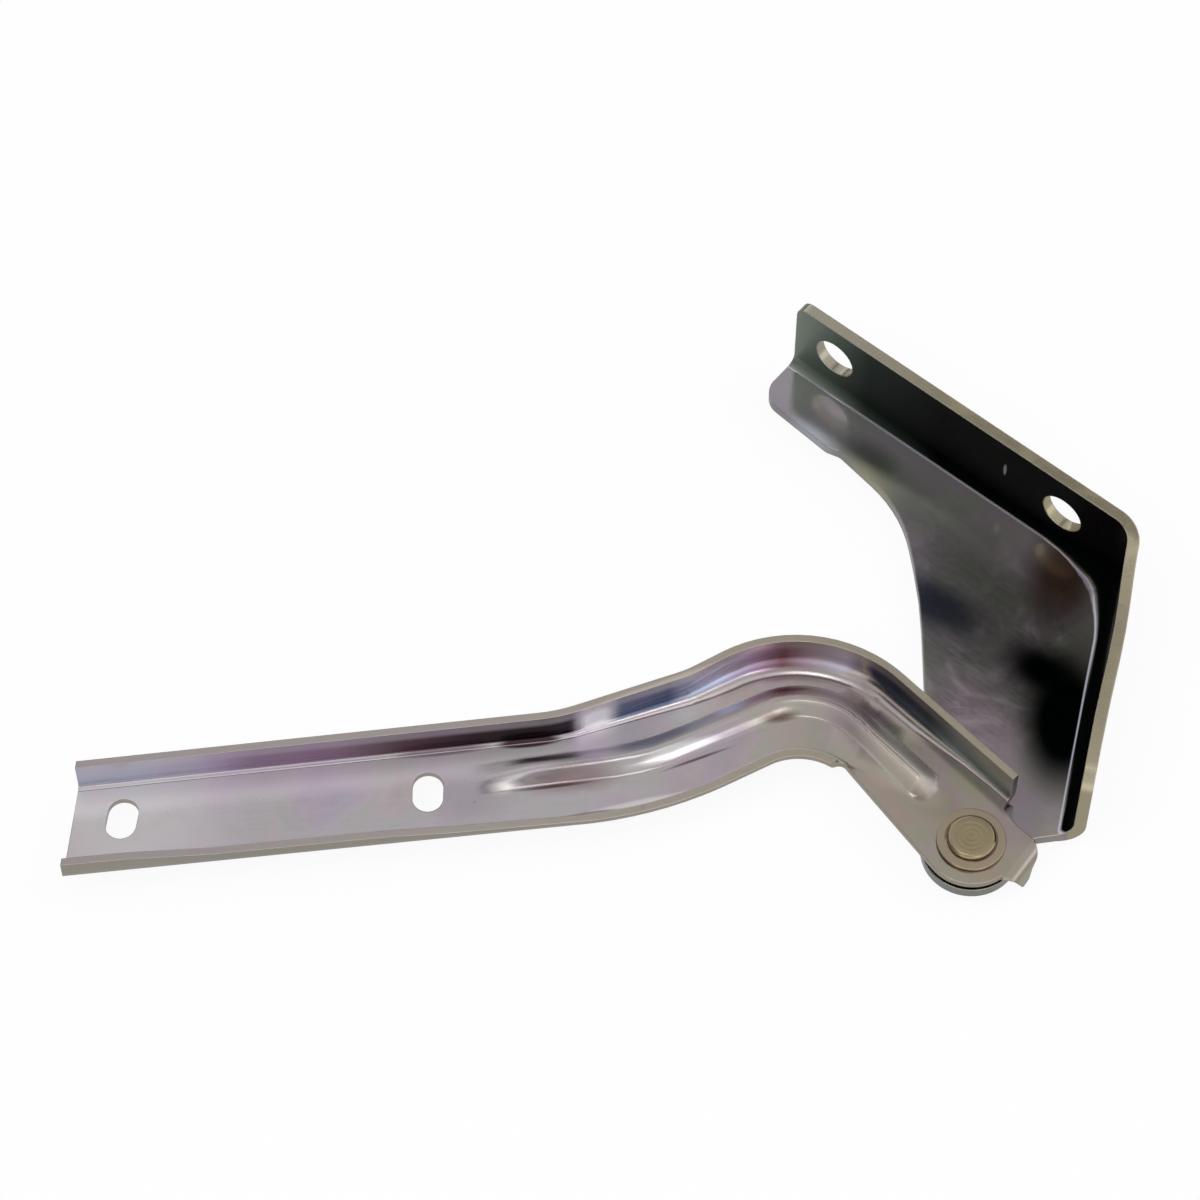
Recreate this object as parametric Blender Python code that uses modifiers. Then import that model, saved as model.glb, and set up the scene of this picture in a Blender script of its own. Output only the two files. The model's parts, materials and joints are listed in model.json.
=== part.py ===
# Bonnet hinge: a pressed channel arm that swings about a rivet in a folded body bracket.
#
# The sizes below are millimetres and degrees. While the pieces are built the pivot axis is the Z axis and
# z = 0 is the upper face of the arm's web; X runs along the strap towards the bracket, Y towards the top of
# the bracket. At the end the whole hinge is moved so that the origin is under the middle of its box.

import math

import bmesh
import bpy
from mathutils import Vector

MM = 0.001

# gap left between pieces that touch on the real hinge
SEAT_GAP = 0.3

# arm
ARM_SHEET = 2.2

# upper flange, outer face: starts at the pivot end and runs to the free end of the strap
UPPER_START = (13.3, 15.2)
UPPER_HEADING = 133.49
NOSE_RUN = 45.47
HUMP_RADIUS = 42.24
HUMP_TURN = 76.82
CREST_RUN = 9.2
CREST_RADIUS = 28.26
CREST_TURN = 10.1
NECK_RUN = 31.41
NECK_RADIUS = 46.82
NECK_TURN = 13.3

# lower flange, outer face: starts where the flange ends, under the hump, and turns about its own centre,
# placed from the hump's centre
LIP_SHIFT = (0.37, -9.62)
LIP_INSET = 25.86
LIP_HEADING = 147.63
LIP_TURN = 60.22
THROAT_RUN = 14.13
THROAT_RADIUS = 116.89
THROAT_TURN = 21.51

STRAP_END = 259.4
STRAP_HEADING = 186.63
END_LEAN = 12.1

UPPER_HEIGHT = 11.0
LOWER_HEIGHT_NECK = 3.0
LOWER_HEIGHT_MID = 5.0
LOWER_HEIGHT_END = 7.0
LOWER_MID_START = 46.0
LOWER_MID_STOP = 96.0
LOWER_END_START = 120.0
FOLD_TIGHT = 1.6
FOLD_LOWER = 2.4
FOLD_HUMP = 5.5

# stiffening bead along the gooseneck, placed from the hump's centre
BEAD_SHIFT = (1.05, 3.56)
BEAD_INSET = 19.43
BEAD_HEADING = 131.56
BEAD_NOSE_RUN = 24.6
BEAD_HUMP_TURN = 73.77
BEAD_NECK_RUN = 28.55
BEAD_NECK_RADIUS = 64.82
BEAD_NECK_TURN = 17.38
BEAD_STRAP_RUN = 34.0
BEAD_HEIGHT = 2.5
BEAD_HALF_WIDTH = 5.6

# bolt slots in the strap: distance from the free end, distance down from the upper flange, length direction
SLOT_WIDTH = 8.8
SLOT_LENGTH = 12.8
SLOT_END_RUN = 21.53
SLOT_END_DOWN = 14.52
SLOT_END_HEADING = 82.5
SLOT_INNER_RUN = 108.45
SLOT_INNER_DOWN = 15.87
SLOT_INNER_HEADING = 90.0

# eye round the pivot and the plain edge that leads to it
EYE_RADIUS = 13.7
EDGE_HEADING = -53.9
EDGE_FILLET = 2.0
EDGE_MARGIN = 2.0
LIP_FADE = 5.4

# stop lug, folded down beside the eye; its outline is given on the flat blank as
# (across the lug, out from the pivot), out as far as the fold and then past the start of the fold
LUG_HEADING = -36.0
LUG_FACE = 17.5
LUG_FOLD = 1.5
LUG_DROP = 11.2
LUG_NECK = ((14.2, 1.6), (11.7, 7.8))
LUG_SIDE_HIGH = 10.8
LUG_SIDE_LOW = -4.4
LUG_TIP_HIGH = 4.8
LUG_TIP_LOW = 0.2

# bracket
BRACKET_SHEET = 3.5
BRACKET_CORNER = (51.8, 90.3)
TOP_HEADING = -39.7
SIDE_HEADING = -102.5
TOP_LENGTH = 124.4
SIDE_LENGTH = 87.6
CORNER_RADIUS = 12.4
FLANGE_RISE = 27.9
TOP_FOLD = 3.3
SIDE_FOLD = 4.7
CORNER_FOOT_RADIUS = 37.0
FLANGE_CORNER = 3.6
FLANGE_CORNER_LOW = 8.0
SIDE_BOW = 0.8

EAR_REACH = 19.5
EAR_CORNER = 8.0
EAR_RUN = 26.9
EAR_HEADING = -44.6
STEP_RUN = 4.6
STEP_HEADING = -25.0
WAIST_HEADING = -48.5
WAIST_RADIUS = 64.0
WAIST_MID_HEADING = -82.0
WAIST_FALL = 82.7
WAIST_LOW_RADIUS = 150.0
WAIST_LINE = -11.0
WAIST_FOOT = 34.0
BRACKET_EYE = 14.0
STOP_SKEW = 20.0
STOP_HEADING = 189.0
STOP_FILLET = 2.2

FLANGE_HOLE = 13.6
HOLE_RISE_END = 14.4
HOLE_RISE_CORNER = 13.0
HOLE_FROM_END = 14.7
HOLE_FROM_CORNER = 25.0

# pivot
RIVET_SHANK = 4.0
HEAD_RADIUS = 7.0
HEAD_HEIGHT = 1.3
HEAD_MARK_RADIUS = 3.3
HEAD_MARK_DEPTH = 0.2
TAIL_RADIUS = 6.6
TAIL_HEIGHT = 2.1
WASHER_RADIUS = 9.9
WASHER_THICKNESS = 1.0
BUSH_WALL = 1.4
BUSH_FLANGE_RADIUS = 10.6
BUSH_FLANGE = 0.7

# heights that follow from the stack on the rivet
ARM_UNDER = -ARM_SHEET
BUSH_FLANGE_TOP = ARM_UNDER - SEAT_GAP
BUSH_FLANGE_UNDER = BUSH_FLANGE_TOP - BUSH_FLANGE
BRACKET_TOP = BUSH_FLANGE_UNDER - SEAT_GAP
BRACKET_UNDER = BRACKET_TOP - BRACKET_SHEET
WASHER_UNDER = SEAT_GAP
WASHER_TOP = WASHER_UNDER + WASHER_THICKNESS
HEAD_UNDER = WASHER_TOP + SEAT_GAP
BORE_RADIUS = RIVET_SHANK + SEAT_GAP
BUSH_RADIUS = BORE_RADIUS + BUSH_WALL
ARM_BORE = BUSH_RADIUS + SEAT_GAP

# radii that follow from the hump
LIP_RADIUS = HUMP_RADIUS - LIP_INSET
BEAD_HUMP_RADIUS = HUMP_RADIUS - BEAD_INSET

# facets
ARC_STEP = 5.0
TURN_STEPS = 48


def away(heading):
    return Vector((math.cos(math.radians(heading)), math.sin(math.radians(heading))))


def left_of(heading):
    return away(heading + 90.0)


def line(length):
    return (length, 0.0)


def arc(radius, turn):
    return (radius * math.radians(abs(turn)), turn)


def along(point, heading, leg, share):
    # the point and the heading after a share of one leg
    length, turn = leg
    if abs(turn) < 1e-6:
        return point + away(heading) * length * share, heading
    radius = length / math.radians(turn)
    centre = point + left_of(heading) * radius
    heading += turn * share
    return centre - left_of(heading) * radius, heading


def route(point, heading, legs, step=ARC_STEP):
    # the points of a whole path of lines and arcs
    point = Vector(point)
    points = [point]
    for leg in legs:
        count = max(1, math.ceil(abs(leg[1]) / step))
        for k in range(1, count + 1):
            points.append(along(point, heading, leg, k / count)[0])
        point, heading = along(point, heading, leg, 1.0)
    return points


def filleted(corners, step=ARC_STEP):
    # a closed outline from corners (x, y, fillet radius)
    outline = []
    total = len(corners)
    for k, (x, y, radius) in enumerate(corners):
        here = Vector((x, y))
        before = Vector(corners[k - 1][:2]) - here
        after = Vector(corners[(k + 1) % total][:2]) - here
        if radius <= 0.0:
            outline.append(here)
            continue
        angle = before.angle(after)
        reach = radius / math.tan(angle / 2.0)
        reach = min(reach, before.length * 0.49, after.length * 0.49)
        radius = reach * math.tan(angle / 2.0)
        bisector = (before.normalized() + after.normalized()).normalized()
        centre = here + bisector * radius / math.sin(angle / 2.0)
        first = here + before.normalized() * reach - centre
        last = here + after.normalized() * reach - centre
        swept = math.atan2(first.x * last.y - first.y * last.x, first.dot(last))
        count = max(1, math.ceil(math.degrees(abs(swept)) / step))
        start = math.atan2(first.y, first.x)
        for n in range(count + 1):
            turn = start + swept * n / count
            outline.append(centre + Vector((math.cos(turn), math.sin(turn))) * radius)
    return outline


def circle_part(radius, start, end, step=ARC_STEP):
    count = max(1, math.ceil(abs(end - start) / step))
    return [away(start + (end - start) * k / count) * radius for k in range(count + 1)]


def meet(a, heading_a, b, heading_b):
    # where two lines cross
    da, db = away(heading_a), away(heading_b)
    gap = Vector(b) - Vector(a)
    share = (gap.x * db.y - gap.y * db.x) / (da.x * db.y - da.y * db.x)
    return Vector(a) + da * share


def collection(name):
    made = bpy.data.collections.new(name)
    bpy.context.scene.collection.children.link(made)
    return made


def new_object(name, bm, group):
    mesh = bpy.data.meshes.new(name)
    bm.to_mesh(mesh)
    bm.free()
    made = bpy.data.objects.new(name, mesh)
    group.objects.link(made)
    return made


def baked(obj, name, group):
    # the object with its modifiers applied, as a plain mesh object
    graph = bpy.context.evaluated_depsgraph_get()
    mesh = bpy.data.meshes.new_from_object(obj.evaluated_get(graph), depsgraph=graph)
    mesh.name = name
    old = obj.data
    bpy.data.objects.remove(obj)
    bpy.data.meshes.remove(old)
    made = bpy.data.objects.new(name, mesh)
    group.objects.link(made)
    return made


def smooth(obj, angle=32.0):
    obj.data.shade_smooth()
    obj.data.set_sharp_from_angle(angle=math.radians(angle))


def metal(name, color, roughness):
    made = bpy.data.materials.new(name)
    made.use_nodes = True
    shader = made.node_tree.nodes["Principled BSDF"]
    shader.inputs["Base Color"].default_value = (*color, 1.0)
    shader.inputs["Metallic"].default_value = 1.0
    shader.inputs["Roughness"].default_value = roughness
    made.diffuse_color = (*color, 1.0)
    return made


def prism(name, outline, low, high, group):
    # a closed block with the outline as its floor plan
    bm = bmesh.new()
    floor = bm.faces.new([bm.verts.new((p.x * MM, p.y * MM, low * MM)) for p in outline])
    bm.normal_update()
    if floor.normal.z > 0.0:
        floor.normal_flip()
    top = bmesh.ops.extrude_face_region(bm, geom=[floor], use_keep_orig=True)
    raised = [v for v in top["geom"] if isinstance(v, bmesh.types.BMVert)]
    bmesh.ops.translate(bm, verts=raised, vec=(0, 0, (high - low) * MM))
    bmesh.ops.recalc_face_normals(bm, faces=bm.faces)
    cutter = new_object(name, bm, group)
    cutter.hide_render = True
    cutter.display_type = 'WIRE'
    return cutter


def drill(name, radius, low, high, group, steps=TURN_STEPS):
    bpy.ops.mesh.primitive_cylinder_add(vertices=steps, radius=radius * MM, depth=(high - low) * MM)
    cutter = bpy.context.object
    cutter.name = name
    for owner in cutter.users_collection:
        owner.objects.unlink(cutter)
    group.objects.link(cutter)
    cutter.location = (0, 0, (low + high) / 2.0 * MM)
    cutter.hide_render = True
    cutter.display_type = 'WIRE'
    return cutter


def cut(obj, cutter, operation='DIFFERENCE', use_self=False):
    step = obj.modifiers.new(cutter.name, 'BOOLEAN')
    step.use_self = use_self
    step.operation = operation
    step.solver = 'EXACT'
    step.object = cutter


def thicken(obj, thickness):
    # thickness grows from the drawn face to its back
    shell = obj.modifiers.new("Sheet", 'SOLIDIFY')
    shell.thickness = thickness * MM
    shell.offset = -1.0
    shell.use_even_offset = True
    shell.use_quality_normals = True


def skin(rows):
    # one quad strip mesh through rows of points with equal counts
    bm = bmesh.new()
    grid = [[bm.verts.new(p * MM) for p in row] for row in rows]
    for left, right in zip(grid, grid[1:]):
        for k in range(len(left) - 1):
            bm.faces.new((left[k], left[k + 1], right[k + 1], right[k]))
    return bm, grid


# arm

def upper_legs():
    return [line(NOSE_RUN), arc(HUMP_RADIUS, HUMP_TURN), line(CREST_RUN), arc(CREST_RADIUS, -CREST_TURN),
            line(NECK_RUN), arc(NECK_RADIUS, -NECK_TURN)]


def hump_centre():
    crest = Vector(UPPER_START) + away(UPPER_HEADING) * NOSE_RUN
    return crest + left_of(UPPER_HEADING) * HUMP_RADIUS


def lip_point():
    # where the lower flange ends, on its outer face
    return hump_centre() + Vector(LIP_SHIFT) - left_of(LIP_HEADING) * LIP_RADIUS


def strap_point(run, down):
    # a point of the strap, from the free end and from the upper flange's outer face
    onward, across = away(STRAP_HEADING), left_of(STRAP_HEADING)
    upper = route(UPPER_START, UPPER_HEADING, upper_legs())[-1]
    return onward * (STRAP_END - run) + across * (upper.dot(across) + down)


def bead_axis():
    bend = hump_centre() + Vector(BEAD_SHIFT) - left_of(BEAD_HEADING) * BEAD_HUMP_RADIUS
    start = bend - away(BEAD_HEADING) * BEAD_NOSE_RUN
    legs = [line(BEAD_NOSE_RUN), arc(BEAD_HUMP_RADIUS, BEAD_HUMP_TURN), line(BEAD_NECK_RUN),
            arc(BEAD_NECK_RADIUS, -BEAD_NECK_TURN), line(BEAD_STRAP_RUN)]
    return route(start, BEAD_HEADING, legs, 3.0)


def edge_line():
    # a point and the heading of the plain edge, tangent to the eye
    return left_of(EDGE_HEADING) * -EYE_RADIUS, EDGE_HEADING


def arm_stations():
    # matched stations along both flanges, from beyond the pivot to beyond the free end:
    # upper point, upper heading, lower point, lower heading, fold angle of the lower side,
    # upper fold radius, lower fold radius, lower flange height
    stations = []
    overrun = EYE_RADIUS + LUG_DROP + 8.0
    edge_point, edge_heading = edge_line()
    lip = lip_point()
    outward = left_of(edge_heading) * -1.0
    start = lip + outward * ((edge_point - lip).dot(outward) + EDGE_MARGIN)
    hump_start = HUMP_RADIUS * math.radians(LIP_HEADING - UPPER_HEADING)
    before_lip = NOSE_RUN + hump_start
    reach = (Vector(UPPER_START) - start).dot(away(edge_heading))

    def plain(run, point, heading, fold):
        # run is the distance from the flange end along the upper side; the lower flange fades out past its lip
        past = reach * (before_lip - run) / before_lip
        if past < LIP_FADE:
            lower, low_heading = lip - away(LIP_HEADING) * past, LIP_HEADING
        else:
            lower, low_heading = start + away(edge_heading) * past, edge_heading + 180.0
        angle = 90.0 * min(1.0, max(0.0, (LIP_FADE - past) / (LIP_FADE * 0.75)))
        stations.append((point, heading, lower, low_heading, angle, fold, FOLD_LOWER, LOWER_HEIGHT_NECK))

    first = Vector(UPPER_START)
    stations_at = [-overrun, -6.0, 7.0]
    bead_end = NOSE_RUN - BEAD_NOSE_RUN + (UPPER_HEADING - BEAD_HEADING)
    stations_at += [bead_end - BEAD_HALF_WIDTH * s for s in (1.1, 0.88, 0.66, 0.42, 0.18)]
    stations_at += [bead_end + 2.0, bead_end + 12.0, NOSE_RUN]
    for run in stations_at:
        fold = FOLD_TIGHT + (FOLD_HUMP - FOLD_TIGHT) * min(1.0, max(0.0, (run - 12.0) / 26.0))
        plain(run, first + away(UPPER_HEADING) * run, UPPER_HEADING, fold)

    # over the hump as far as the end of the lower flange
    point, heading = first + away(UPPER_HEADING) * NOSE_RUN, UPPER_HEADING
    leg = arc(HUMP_RADIUS, LIP_HEADING - UPPER_HEADING)
    for share in (0.2, 0.42, 0.62, 0.82):
        where, turned = along(point, heading, leg, share)
        plain(NOSE_RUN + hump_start * share, where, turned, FOLD_HUMP)
    point, heading = along(point, heading, leg, 1.0)

    # both flanges together to the free end
    throat = arc(THROAT_RADIUS, -THROAT_TURN)
    parts = [(CREST_TURN / 2.2, 3), (NECK_RUN / 2.0, 5), (NECK_TURN * 0.45, 3)]
    weight = sum(p[0] for p in parts)
    throats = [(throat[0] * p[0] / weight, throat[1] * p[0] / weight) for p in parts]
    hump_left = UPPER_HEADING + HUMP_TURN - LIP_HEADING
    uppers = [(arc(HUMP_RADIUS, hump_left), arc(LIP_RADIUS, LIP_TURN), 12, FOLD_HUMP),
              (line(CREST_RUN), line(THROAT_RUN), 2, 4.4),
              (arc(CREST_RADIUS, -CREST_TURN), throats[0], 3, 3.6),
              (line(NECK_RUN), throats[1], 5, 2.2),
              (arc(NECK_RADIUS, -NECK_TURN), throats[2], 4, FOLD_TIGHT)]
    low_point, low_heading = lip, LIP_HEADING
    fold = FOLD_HUMP
    stations.append((point, heading, low_point, low_heading, 90.0, fold, FOLD_LOWER, LOWER_HEIGHT_NECK))
    for up, low, count, fold_end in uppers:
        for k in range(1, count + 1):
            share = k / count
            p, h = along(point, heading, up, share)
            q, g = along(low_point, low_heading, low, share)
            stations.append((p, h, q, g, 90.0, fold + (fold_end - fold) * share, FOLD_LOWER, LOWER_HEIGHT_NECK))
        point, heading = along(point, heading, up, 1.0)
        low_point, low_heading = along(low_point, low_heading, low, 1.0)
        fold = fold_end
    nose = BEAD_STRAP_RUN - 2.0 * BEAD_HALF_WIDTH
    lag = (low_point - point).dot(away(heading))
    runs = [(6.0, 3.2), (nose, 3.6)]
    runs += [(nose + BEAD_HALF_WIDTH * s, 3.7) for s in (0.25, 0.5, 0.75, 0.95, 1.2)]
    runs += [(LOWER_MID_START, LOWER_HEIGHT_MID), (LOWER_MID_STOP, LOWER_HEIGHT_MID),
             (LOWER_END_START, LOWER_HEIGHT_END)]
    beyond = (away(STRAP_HEADING) * STRAP_END - point).dot(away(heading)) + EYE_RADIUS
    runs.append((beyond, LOWER_HEIGHT_END))
    for run, height in runs:
        low_run = run - lag * min(1.0, run / 40.0)
        low_fold = FOLD_TIGHT + (FOLD_LOWER - FOLD_TIGHT) * max(0.0, 1.0 - run / 40.0)
        stations.append((point + away(heading) * run, heading, low_point + away(low_heading) * low_run,
                         low_heading, 90.0, fold, low_fold, height))
    return stations


def fold_points(foot, out, radius, height, angle=90.0, count=6):
    # from the web's foot line, round the fold and up to the edge of the flange
    angle = math.radians(angle)
    length = radius * math.pi / 2.0
    rest = max(height - radius, 0.4)
    points = []
    for k in range(1, count + 1):
        if angle < 0.02:
            across, rise = length * k / count, 0.0
        else:
            across = length / angle * math.sin(angle * k / count)
            rise = length / angle * (1.0 - math.cos(angle * k / count))
        points.append((foot + out * across).to_3d() + Vector((0, 0, rise)))
    points.append(points[-1] + (out * math.cos(angle) * rest).to_3d() + Vector((0, 0, math.sin(angle) * rest)))
    return points


def bead_rise(point, axis):
    # height of the bead's rounded ridge at a point of the web
    best = 1e9
    for a, b in zip(axis, axis[1:]):
        span = b - a
        share = min(1.0, max(0.0, (point - a).dot(span) / span.length_squared))
        best = min(best, (point - a - span * share).length)
    if best >= BEAD_HALF_WIDTH:
        return 0.0
    return BEAD_HEIGHT * math.cos(math.pi / 2.0 * best / BEAD_HALF_WIDTH) ** 1.7


def crossing(a, b, axis):
    # share of the way from a to b where the line meets the bead's axis, carried on past its ends
    span = b - a
    carried = [axis[0] + (axis[0] - axis[1]).normalized() * 60.0] + axis[1:-1]
    carried += [axis[-1] + (axis[-1] - axis[-2]).normalized() * 160.0]
    best = None
    for p, q in zip(carried, carried[1:]):
        d = q - p
        cross = span.x * d.y - span.y * d.x
        if abs(cross) < 1e-9:
            continue
        gap = p - a
        share = (gap.x * d.y - gap.y * d.x) / cross
        other = (gap.x * span.y - gap.y * span.x) / cross
        if -0.02 <= other <= 1.02 and 0.0 < share < 1.0:
            if best is None or abs(share - 0.5) < abs(best - 0.5):
                best = share
    return 0.5 if best is None else best


def arm_rows():
    axis = bead_axis()
    rows = []
    spread = (-1.0, -0.75, -0.5, -0.25, 0.0, 0.25, 0.5, 0.75, 1.0)
    for up, up_heading, low, low_heading, angle, up_fold, low_fold, low_height in arm_stations():
        up_out = left_of(up_heading) * -1.0
        low_out = left_of(low_heading)
        up_foot = up - up_out * (ARM_SHEET + up_fold)
        low_foot = low - low_out * (ARM_SHEET + low_fold)
        row = [p for p in reversed(fold_points(up_foot, up_out, up_fold, UPPER_HEIGHT))]
        row.append(Vector((up_foot.x, up_foot.y, 0.0)))
        span = low_foot - up_foot
        share = crossing(up_foot, low_foot, axis)
        for s in spread:
            where = up_foot + span * (share + s * BEAD_HALF_WIDTH / span.length)
            row.append(Vector((where.x, where.y, bead_rise(where, axis))))
        row.append(Vector((low_foot.x, low_foot.y, 0.0)))
        row += fold_points(low_foot, low_out, low_fold, low_height, angle, 5)
        rows.append(row)
    return rows


def flange_end_line():
    # the pivot end of the upper flange: outer corner and the foot of its fold
    outward = left_of(UPPER_HEADING) * -1.0
    outer = Vector(UPPER_START)
    return outer, outer - outward * (ARM_SHEET + FOLD_TIGHT)


def lug_point(across, out):
    # a point in the lug's own directions: across its width, and out from the pivot
    return left_of(LUG_HEADING) * across + away(LUG_HEADING) * out


def arm_outline():
    # floor plan of the flat blank: it trims the arm and leaves the lug to be folded
    outer, foot = flange_end_line()
    fold_start = LUG_FACE - ARM_SHEET - LUG_FOLD
    fold_length = (LUG_FOLD + ARM_SHEET) * math.pi / 2.0
    tip = fold_start + fold_length + LUG_DROP - ARM_SHEET - LUG_FOLD
    outside = 12.0
    beyond = left_of(UPPER_HEADING) * -outside

    corners = [(*(outer + beyond), 0.0), (*outer, 0.0), (*foot, 0.8)]
    for across, out in LUG_NECK:
        corners.append((*lug_point(across, out), 1.2))
    corners.append((*lug_point(LUG_SIDE_HIGH, fold_start + 0.6), 2.5))
    corners.append((*lug_point(LUG_TIP_HIGH + 0.9, fold_start + fold_length + 2.4), 3.0))
    corners.append((*lug_point(LUG_TIP_HIGH, tip), 2.0))
    corners.append((*lug_point(LUG_TIP_LOW + 1.4, tip), 1.6))
    corners.append((*lug_point(LUG_TIP_LOW - 0.9, fold_start + fold_length + 2.8), 2.0))
    corners.append((*lug_point(LUG_SIDE_LOW, fold_start + 0.4), 1.5))
    side = math.sqrt(EYE_RADIUS ** 2 - LUG_SIDE_LOW ** 2)
    corners.append((*lug_point(LUG_SIDE_LOW, side), 0.0))

    turn_start = LUG_HEADING + math.degrees(math.asin(LUG_SIDE_LOW / EYE_RADIUS))
    turn_end = EDGE_HEADING - 90.0
    eye = circle_part(EYE_RADIUS, turn_start, turn_end)
    corners += [(p.x, p.y, 0.0) for p in eye[1:]]

    # up the plain edge to the end of the lower flange
    edge_point, edge_heading = edge_line()
    lip = lip_point()
    up_edge = edge_point + away(edge_heading) * (lip - edge_point).dot(away(edge_heading))
    corners.append((*up_edge, EDGE_FILLET))
    corners.append((*(lip + (lip - up_edge).normalized() * outside), 0.0))

    # far outside both flanges, with the square cut at the free end
    legs = [arc(LIP_RADIUS, LIP_TURN), line(THROAT_RUN), arc(THROAT_RADIUS, -THROAT_TURN)]
    lower = route(lip, LIP_HEADING, legs, 9.0)
    heading = LIP_HEADING + LIP_TURN - THROAT_TURN
    far = [p + left_of(heading) * outside for p in lower[6:]]
    corners += [(p.x, p.y, 0.0) for p in far]
    end = away(STRAP_HEADING) * STRAP_END
    low_end = end + left_of(STRAP_HEADING - END_LEAN) * 60.0
    high_end = end - left_of(STRAP_HEADING - END_LEAN) * 90.0
    corners += [(low_end.x, low_end.y, 0.0), (high_end.x, high_end.y, 0.0)]
    peak = max(p.y for p in route(UPPER_START, UPPER_HEADING, upper_legs()))
    corners.append((high_end.x + 60.0, peak + 30.0, 0.0))
    corners.append((outer.x - 10.0, peak + 30.0, 0.0))
    return filleted(corners)


def fold_lug(obj):
    # folds whatever lies beyond the fold line down by a quarter turn
    start = LUG_FACE - ARM_SHEET - LUG_FOLD
    outer = LUG_FOLD + ARM_SHEET
    length = outer * math.pi / 2.0
    out = away(LUG_HEADING).to_3d()
    bm = bmesh.new()
    bm.from_mesh(obj.data)
    steps = 6
    for k in range(steps + 1):
        place = out * (start + length * k / steps) * MM
        geom = bm.verts[:] + bm.edges[:] + bm.faces[:]
        bmesh.ops.bisect_plane(bm, geom=geom, dist=1e-7, plane_co=place, plane_no=out)
    for vert in bm.verts:
        reach = vert.co.dot(out) / MM - start
        if reach <= 1e-5:
            continue
        turn = min(reach / length, 1.0) * math.pi / 2.0
        radius = outer + vert.co.z / MM
        flat = vert.co - out * (reach + start) * MM
        extra = max(0.0, reach - length)
        flat.z = (radius * math.cos(turn) - outer - extra) * MM
        vert.co = flat + out * (start + radius * math.sin(turn)) * MM
    bmesh.ops.remove_doubles(bm, verts=bm.verts, dist=2e-6)
    bm.to_mesh(obj.data)
    bm.free()


def slot_outline(centre, heading):
    reach = (SLOT_LENGTH - SLOT_WIDTH) / 2.0
    outline = []
    for side, start in ((1.0, -90.0), (-1.0, 90.0)):
        for p in circle_part(SLOT_WIDTH / 2.0, heading + start, heading + start + 180.0, 10.0):
            outline.append(centre + away(heading) * reach * side + p)
    return outline


def make_arm(group, cutters):
    bm, grid = skin(arm_rows())
    bmesh.ops.recalc_face_normals(bm, faces=bm.faces)
    if sum(f.normal.z for f in bm.faces) < 0.0:
        bmesh.ops.reverse_faces(bm, faces=bm.faces)
    arm = new_object("arm_blank", bm, group)
    thicken(arm, ARM_SHEET)
    low, high = -20.0, UPPER_HEIGHT + 10.0
    cut(arm, prism("arm_trim", arm_outline(), low, high, cutters), 'INTERSECT', True)
    for name, run, down, heading in (("slot_end", SLOT_END_RUN, SLOT_END_DOWN, SLOT_END_HEADING),
                                     ("slot_inner", SLOT_INNER_RUN, SLOT_INNER_DOWN, SLOT_INNER_HEADING)):
        cut(arm, prism(name, slot_outline(strap_point(run, down), heading), low, high, cutters))
    cut(arm, drill("arm_bore", ARM_BORE, low, high, cutters))
    arm = baked(arm, "bonnet_arm", group)
    fold_lug(arm)
    return arm


# bracket

def bracket_start():
    corner = Vector(BRACKET_CORNER)
    return corner - away(TOP_HEADING) * TOP_LENGTH


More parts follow.
